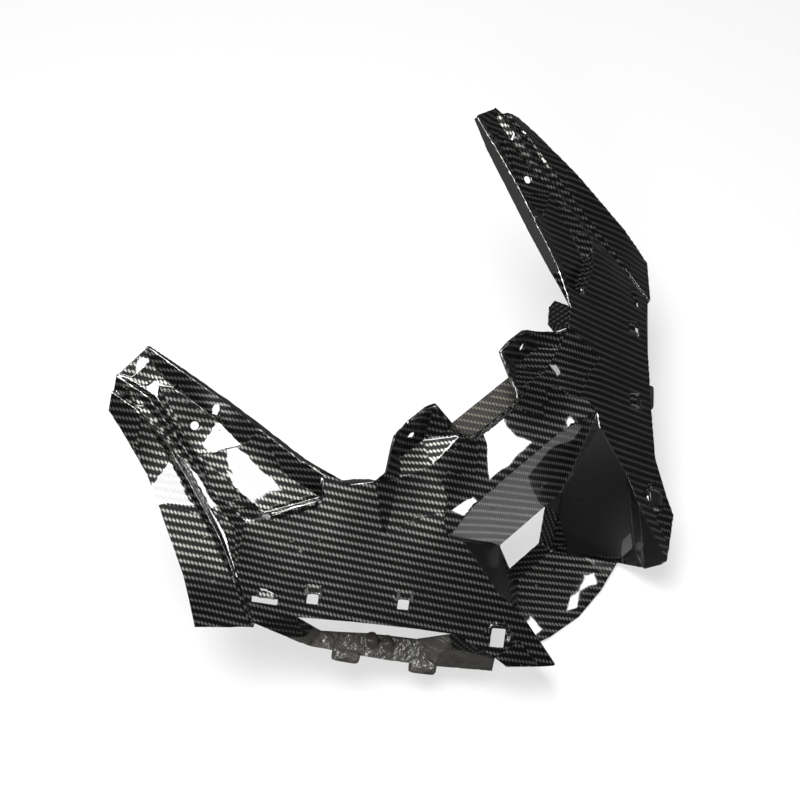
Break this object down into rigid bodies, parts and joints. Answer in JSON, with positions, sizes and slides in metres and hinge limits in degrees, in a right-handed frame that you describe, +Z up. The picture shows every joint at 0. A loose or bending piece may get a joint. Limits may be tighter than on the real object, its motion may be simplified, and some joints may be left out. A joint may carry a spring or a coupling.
{
  "type": "motorcycle inner fairing",
  "caption": "Moulded carbon laminate nose shell with two raised side wings, a notched bridge with bolt tabs, a slotted nose channel and lower lamp straps.",
  "frame": {"origin": "midway between the two tab holes", "axes": "+X across the fairing, -Y towards the nose, +Z up"},
  "size_m": [0.5064, 0.3303, 0.2362],
  "materials": {
    "laminate": "gloss"
  },
  "bodies": {
    "root": {"inner_fairing": "laminate"}
  },
  "joints": []
}
